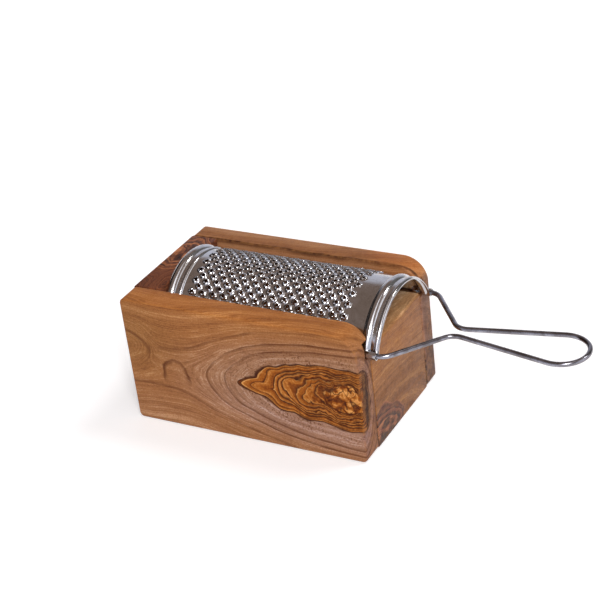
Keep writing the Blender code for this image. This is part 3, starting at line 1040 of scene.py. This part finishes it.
def toothPlaces(halfPitches):
    # columns and rows of the teeth, every other row half a pitch along
    firstRow = sheetShape["plainRows"]
    lastRow = sheetShape["archRows"] - sheetShape["plainRows"]
    return {(column, row) for row in range(firstRow, lastRow + 1)
            for column in range(1 + (row - firstRow) % 2, halfPitches, 2)}


def addTooth(shape, ring, centreX, centreAngle, chance, thin):
    # a burr pushed up from below: a flared ring that ends in torn petals round the hole
    t = toothShape
    count = len(ring)
    levels = len(t["ringRadii"])
    perPetal = count // t["petals"]
    petals = range(t["petals"])
    twist = chance.uniform(-t["twist"], t["twist"])
    tips = [t["tipHeight"] + chance.uniform(*t["tipRange"]) * t["tipScatter"] for petal in petals]
    leans = [chance.uniform(*t["leanRangeMm"]) * mm for petal in petals]
    lastRing = ring
    for level in range(levels + 1):
        newRing = []
        for index in range(count):
            angle = index / count * 2 * math.pi
            if level < levels:
                turn = angle + twist * level / levels
                star = math.cos(t["petals"] * angle - math.pi) * t["fold"] * level / levels
                radius = t["ringRadii"][level] * (1 + star)
                height = t["ringHeights"][level] * (1 + t["foldRise"] * star)
            else:
                turn = angle + twist
                petal, step = divmod(index, perPetal)
                sharp = (1 - abs(2 * step / perPetal - 1)) ** t["tipPoint"]
                radius = t["notchRadius"] + (t["tipRadius"] + leans[petal] - t["notchRadius"]) * sharp
                height = t["notchHeight"] + (tips[petal] - t["notchHeight"]) * sharp
            point = archPoint(centreX + radius * math.cos(turn),
                              centreAngle + radius * math.sin(turn) / archRadius, height)
            newRing.append(shape.verts.new(point))
            thin[newRing[-1]] = 1 - t["thinning"] * level / levels
        for index in range(count):
            after = (index + 1) % count
            face = shape.faces.new((lastRing[index], lastRing[after], newRing[after], newRing[index]))
            face.material_index = t["materialIndex"]
        lastRing = newRing


def gratingMesh():
    s = sheetShape
    stations, first, halfPitches = sheetStations()
    fine = s["fineSteps"]
    rows = s["archRows"] * fine
    curl = s["curlSteps"]
    teeth = toothPlaces(halfPitches)
    shape = bmesh.new()
    grid = {}
    fade = s["beadFade"] / archRadius

    def gridVert(column, row):
        if (column, row) not in grid:
            x, bead = stations[column]
            if 0 <= row <= rows:
                angle = -archHalfAngle + 2 * archHalfAngle * row / rows
                edge = min(1, (archHalfAngle - abs(angle)) / fade)
                point = archPoint(x, angle, bead * edge * edge * (3 - 2 * edge))
            else:
                side = -1 if row < 0 else 1
                point = curlPoint(x, side, (-row if row < 0 else row - rows) / curl)
            grid[(column, row)] = shape.verts.new(point)
        return grid[(column, row)]

    def teethAt(column, row):
        # how the cell sits to the teeth's diamonds: inside one, or on the edge of some
        edges = []
        nearColumn, nearRow = round(column / fine), round(row / fine)
        for c in range(nearColumn - 1, nearColumn + 2):
            for r in range(nearRow - 1, nearRow + 2):
                if (c, r) in teeth:
                    off = abs(column - c * fine) + abs(row - r * fine)
                    if off < fine - 0.5:
                        return True, []
                    if off < fine + 0.5:
                        edges.append((c, r))
        return False, edges

    for column in range(len(stations) - 1):
        for row in range(-curl, rows + curl):
            fieldColumn = column - first
            corners = [(column, row), (column + 1, row), (column + 1, row + 1), (column, row + 1)]
            if 0 <= fieldColumn < halfPitches * fine and 0 <= row < rows:
                inside, edges = teethAt(fieldColumn + 0.5, row + 0.5)
                if inside or len(edges) > 1:
                    continue
                if edges:
                    c, r = edges[0]
                    corners = [(i, j) for i, j in corners
                               if abs(i - first - c * fine) + abs(j - r * fine) >= fine]
            shape.faces.new([gridVert(i, j) for i, j in corners])

    thin = {}
    chance = random.Random(s["seed"])
    for column, row in sorted(teeth):
        ring = []
        for quarter, (stepColumn, stepRow) in enumerate(((-1, 1), (-1, -1), (1, -1), (1, 1))):
            startColumn, startRow = ((fine, 0), (0, fine), (-fine, 0), (0, -fine))[quarter]
            for step in range(fine):
                i = first + column * fine + startColumn + stepColumn * step
                ring.append(gridVert(i, row * fine + startRow + stepRow * step))
        x = stations[first + column * fine][0]
        addTooth(shape, ring, x, -archHalfAngle + row * rowAngle, chance, thin)

    shape.verts.index_update()
    weights = {vert.index: weight for vert, weight in thin.items()}
    mesh = meshFrom("gratingSheet", shape)
    print("Grating sheet:", len(teeth), "teeth,", len(mesh.vertices), "points before its thickness")
    blank = looseObject("gratingBlank", mesh)
    full = blank.vertex_groups.new(name="fullThickness")
    for vert in mesh.vertices:
        full.add([vert.index], weights.get(vert.index, 1), "REPLACE")
    shell = blank.modifiers.new("sheetThickness", "SOLIDIFY")
    shell.thickness = s["thickness"]
    shell.offset = 0
    shell.vertex_group = "fullThickness"
    shell.material_offset = 1
    return smoothed(appliedMesh(blank, "gratingSheet"), s["sharpDegrees"])


# burrs take the third and fourth material, and the sheet's inner side the next one of each pair
newPiece("gratingSheet", gratingMesh(), "grater", "grating_sheet", "sheet_steel",
         sheetSteel, sheetUnderside, burrSteel, paintedHoleShadeSteel)
print("Grating sheet made")


# Handle wire

handleShape = {
    "legLead": 4 * mm,
    "legBend": 10 * mm,
    "neckReach": 30.2 * mm,
    "neckHalfGap": 3.3 * mm,
    "neckBend": 9 * mm,
    "loopReach": 90.8 * mm,
    "loopRadius": 15 * mm,
    "bendSteps": 14,
    "loopSteps": 72,
    "sides": 5,                   # bevel resolution of the round wire
    "weld": 0.01 * mm,
    "sharpDegrees": 40,
}


def wireBend(before, turnPoint, after, radius):
    towardsBefore = (before - turnPoint).normalized()
    towardsAfter = (after - turnPoint).normalized()
    half = towardsBefore.angle(towardsAfter) / 2
    centre = turnPoint + (towardsBefore + towardsAfter).normalized() * (radius / math.sin(half))
    run = radius / math.tan(half)
    start = (turnPoint + towardsBefore * run - centre).normalized()
    end = (turnPoint + towardsAfter * run - centre).normalized()
    steps = handleShape["bendSteps"]
    return [centre + radius * start.slerp(end, step / steps) for step in range(steps + 1)]


def wirePath():
    h = handleShape
    leg = Vector((sheetHigh.x + h["legLead"], hemHalfSpacing, 0))
    neck = Vector((sheetHigh.x + h["neckReach"], h["neckHalfGap"], 0))
    loopCentre = Vector((sheetHigh.x + h["loopReach"], 0, 0))
    reach = loopCentre - neck
    lean = math.asin(h["loopRadius"] / reach.length) + math.atan2(reach.y, reach.x)
    touch = loopCentre + h["loopRadius"] * Vector((-math.sin(lean), math.cos(lean), 0))
    start = Vector((wireLow.x, hemHalfSpacing, 0))
    half = [start] + wireBend(start, leg, neck, h["legBend"]) + wireBend(leg, neck, touch, h["neckBend"])
    opening = math.pi / 2 + lean
    loop = []
    for step in range(h["loopSteps"] + 1):
        angle = opening * (1 - 2 * step / h["loopSteps"])
        loop.append(loopCentre + h["loopRadius"] * Vector((math.cos(angle), math.sin(angle), 0)))
    return half + loop + [Vector((point.x, -point.y, 0)) for point in reversed(half)]


def wireMesh():
    curve = bpy.data.curves.new("handleWire", "CURVE")
    curve.dimensions = "3D"
    curve.bevel_depth = wireRadius
    curve.bevel_resolution = handleShape["sides"]
    curve.use_fill_caps = True
    path = wirePath()
    spline = curve.splines.new("POLY")
    spline.points.add(len(path) - 1)
    for point, spot in zip(spline.points, path):
        point.co = (spot.x, archMiddle + spot.y, wireHeight, 1)
    shape = bmesh.new()
    shape.from_mesh(appliedMesh(looseObject("handleWireCurve", curve), "handleWire"))
    bmesh.ops.remove_doubles(shape, verts=shape.verts, dist=handleShape["weld"])
    return smoothed(meshFrom("handleWire", shape), handleShape["sharpDegrees"])


newPiece("handleWire", wireMesh(), "grater", "handle_wire", "wire_steel", wireSteel)
print("Handle wire made")


# Studio: pale floor, soft lamps and camera

studio = {
    "floorSize": 14,
    "floorDrop": 0.2 * mm,
    "floorColour": colour(232, 232, 232),
    "floorRoughness": 0.9,
    "floorGloss": 0.1,
    "floorLift": 0.34,            # added for the camera, and for what steel mirrors
    "horizon": colour(218, 221, 235),
    "zenith": colour(138, 121, 111),
    "horizonTop": 0.47,           # heights between which the horizon turns into the zenith
    "zenithFoot": 0.58,
    "flag": colour(52, 48, 46),   # a dark board at the left
    "flagSides": (-0.79, -0.56),  # between these it fades, along X
    "backBoard": colour(112, 110, 108),   # a grey board behind, at the right
    "backBoardSide": (-0.05, 0.25),       # between these it fades in, along X and along Y
    "backBoardFront": (0.45, 0.65),
    "stripAcross": (-0.908, -0.275, 0.316),   # square to a strip lamp that runs from the front over the top
    "stripFront": -0.75,          # its ends, along Y
    "stripBack": 0.45,
    "stripFrontWidth": 0.26,
    "stripBackWidth": 0.05,
    "stripCore": 0.6,             # share of its width that is fully bright
    "stripFoot": (0.16, 0.36),    # heights between which its front end fades in
    "stripBackFade": 0.85,        # share of its length where it starts to fade out
    "stripBackShare": 0.30,       # brightness left at its back end
    "stripColour": (2.4, 2.4, 2.5, 1),
}
lamps = {
    "sideWindow": {"towards": (0.50, -0.60, 0.62), "strength": 1.5, "width": math.radians(18)},
    "backWindow": {"towards": (0.38, 0.34, 0.86), "strength": 0.85, "width": math.radians(18),
                   "glossy": False},
    "glint": {"towards": (0.88, 0.29, 0.38), "strength": 0.35, "width": math.radians(48),
              "diffuse": False},
    "crownGlint": {"towards": (0.50, 0.52, 0.69), "strength": 0.30, "width": math.radians(7),
                   "diffuse": False},
}
view = {
    "target": Vector((0.01649, 0.00558, 0.06096)),
    "distance": 0.9206,
    "azimuth": math.radians(31.03),
    "elevation": math.radians(29.28),
    "roll": math.radians(7.007),
    "lens": 94.22,
}


def makeFloor():
    shape = bmesh.new()
    bmesh.ops.create_grid(shape, x_segments=4, y_segments=4, size=studio["floorSize"] / 2)
    floor = looseObject("studioFloor", meshFrom("studioFloor", shape))
    floor.location.z = -studio["floorDrop"]
    material = bpy.data.materials.new("studioFloor")
    material.use_nodes = True
    nodes = material.node_tree.nodes
    shader = nodes["Principled BSDF"].inputs
    shader["Base Color"].default_value = studio["floorColour"]
    shader["Roughness"].default_value = studio["floorRoughness"]
    shader["Specular IOR Level"].default_value = studio["floorGloss"]
    shader["Emission Color"].default_value = (1, 1, 1, 1)
    rays = nodes.new("ShaderNodeLightPath").outputs
    seen = plus(rays["Is Camera Ray"], rays["Is Glossy Ray"])
    seen = maths("ADD", seen, rays["Is Transmission Ray"], clamp=True)
    plug(shader["Emission Strength"], times(seen, studio["floorLift"]))
    floor.data.materials.append(material)


def makeWorld():
    s = studio
    world = bpy.data.worlds.new("studioRoom")
    scene.world = world
    world.use_nodes = True
    nodes = world.node_tree.nodes
    direction = nodes.new("ShaderNodeTexCoord").outputs["Generated"]
    parts = split(direction)
    room = ramp(parts["Z"], [
        (0, s["horizon"]), (s["horizonTop"], s["horizon"]), (s["zenithFoot"], s["zenith"])])
    room = blendColour(stretch(parts["X"], *s["flagSides"], 1, 0), room, s["flag"])
    behind = times(stretch(parts["X"], *s["backBoardSide"]), stretch(parts["Y"], *s["backBoardFront"]))
    room = blendColour(behind, room, s["backBoard"])
    across = maths("ABSOLUTE", vectorMaths("DOT_PRODUCT", direction, s["stripAcross"]))
    run = stretch(parts["Y"], s["stripFront"], s["stripBack"], smooth=False)
    width = stretch(run, 0, 1, s["stripFrontWidth"], s["stripBackWidth"], smooth=False)
    strip = stretch(across, times(width, s["stripCore"]), width, 1, 0)
    strip = times(strip, stretch(parts["Z"], *s["stripFoot"]))
    strip = times(strip, stretch(run, s["stripBackFade"], 1, 1, 0))
    strip = times(strip, stretch(run, 0, 1, 1, s["stripBackShare"], smooth=False))
    room = blendColour(strip, room, s["stripColour"])
    plug(nodes["Background"].inputs["Color"], room)


def makeLamps():
    for name, values in lamps.items():
        light = bpy.data.lights.new(name, "SUN")
        light.energy = values["strength"]
        light.angle = values["width"]
        lamp = looseObject(name, light)
        lamp.visible_glossy = values.get("glossy", True)
        lamp.visible_diffuse = values.get("diffuse", True)
        lamp.rotation_mode = "QUATERNION"
        lamp.rotation_quaternion = (-Vector(values["towards"])).to_track_quat("-Z", "Y")


def makeCamera():
    data = bpy.data.cameras.new("photoView")
    data.sensor_width = 36
    data.lens = view["lens"]
    camera = looseObject("photoView", data)
    flat = math.cos(view["elevation"])
    away = Vector((math.sin(view["azimuth"]) * flat, -math.cos(view["azimuth"]) * flat,
                   math.sin(view["elevation"])))
    camera.location = view["target"] + away * view["distance"]
    camera.rotation_mode = "QUATERNION"
    camera.rotation_quaternion = (-away).to_track_quat("-Z", "Y") @ Quaternion((0, 0, 1), -view["roll"])
    scene.camera = camera


makeFloor()
makeWorld()
makeLamps()
makeCamera()
scene.view_settings.view_transform = "Standard"
print("Studio made")
